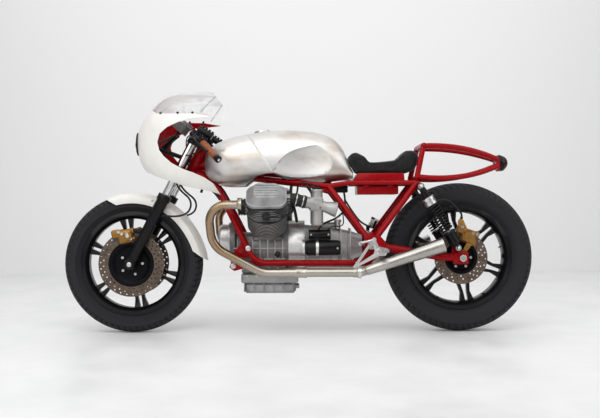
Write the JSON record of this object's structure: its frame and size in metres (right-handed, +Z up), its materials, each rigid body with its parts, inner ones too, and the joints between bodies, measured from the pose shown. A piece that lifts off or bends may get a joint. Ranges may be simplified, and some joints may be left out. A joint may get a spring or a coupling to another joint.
{
  "type": "cafe racer motorcycle",
  "caption": "Half-faired cafe racer motorcycle with a transverse V-twin engine, brushed metal tank, open tail hoop and cast wheels.",
  "frame": {"origin": "the lowest point of the seat's dip, where the rider sits, on the centre plane", "axes": "+X forward, +Y to the rider's left, +Z up"},
  "size_m": [2.1668, 0.6752, 1.1065],
  "materials": {
    "frame_red": "gloss",
    "black_metal": "satin",
    "lamp_red": "gloss",
    "cast_metal": "bead blasted",
    "steel": "polished",
    "exhaust_steel": "satin, heat tinted",
    "brushed_tank": "brushed",
    "seat_cover": "suede",
    "body_white": "gloss",
    "screen_clear": "clear",
    "lamp_black": "gloss",
    "caliper_gold": "anodised",
    "chrome": "polished",
    "grip_tan": "stitched",
    "tyre": "matt",
    "wheel_black": "satin",
    "disc_metal": "ground",
    "rubber_trim": "matt"
  },
  "bodies": {
    "chassis": {"main_frame": "frame_red", "left_cradle": "frame_red", "right_cradle": "frame_red", "tail_loop": "frame_red", "tail_lamp": "lamp_red", "swingarm": "frame_red", "final_drive": "cast_metal", "rear_axle": "steel", "rear_dampers": "black_metal", "crankcase": "cast_metal", "left_cylinder": "cast_metal", "right_cylinder": "cast_metal", "rocker_covers": "cast_metal", "alternator_cover": "cast_metal", "gearbox": "cast_metal", "starter_motor": "black_metal", "oil_sump": "cast_metal", "carburettors": "cast_metal", "exhaust_headers": "exhaust_steel", "silencers": "exhaust_steel", "fuel_tank": "brushed_tank", "fuel_cap": "steel", "seat_pad": "seat_cover", "seat_tray": "frame_red", "battery_box": "frame_red", "ignition_box": "black_metal", "fairing": "body_white", "windscreen": "screen_clear", "headlamp": "lamp_black", "fairing_stay": "black_metal", "instrument": "lamp_black", "footrests": "steel", "rear_caliper": "caliper_gold", "rear_master": "black_metal", "rear_brake_hose": "rubber_trim"},
    "steering": {"lower_yoke": "black_metal", "upper_yoke": "black_metal", "stanchions": "chrome", "fork_sliders": "black_metal", "front_axle": "steel", "clip_on_bars": "black_metal", "grips": "grip_tan", "lever_perches": "black_metal", "front_calipers": "caliper_gold", "front_mudguard": "body_white", "front_brake_hoses": "rubber_trim"},
    "front_wheel": {"front_tyre": "tyre", "front_wheel": "wheel_black", "front_discs": "disc_metal"},
    "rear_wheel": {"rear_tyre": "tyre", "rear_wheel": "wheel_black", "rear_disc": "disc_metal"}
  },
  "joints": [
    {"name": "steering_turn", "type": "hinge", "parent": "chassis", "child": "steering", "pos_m": [0.8382, 0, 0.01085], "axis": [-0.4617, 0, 0.887], "range_deg": [-20, 20]},
    {"name": "front_wheel_spin", "type": "hinge", "parent": "steering", "child": "front_wheel", "pos_m": [1.133, 0, -0.458], "axis": [0, 1, 0], "continuous": true},
    {"name": "rear_wheel_spin", "type": "hinge", "parent": "chassis", "child": "rear_wheel", "pos_m": [-0.372, 0, -0.436], "axis": [0, 1, 0], "continuous": true}
  ]
}
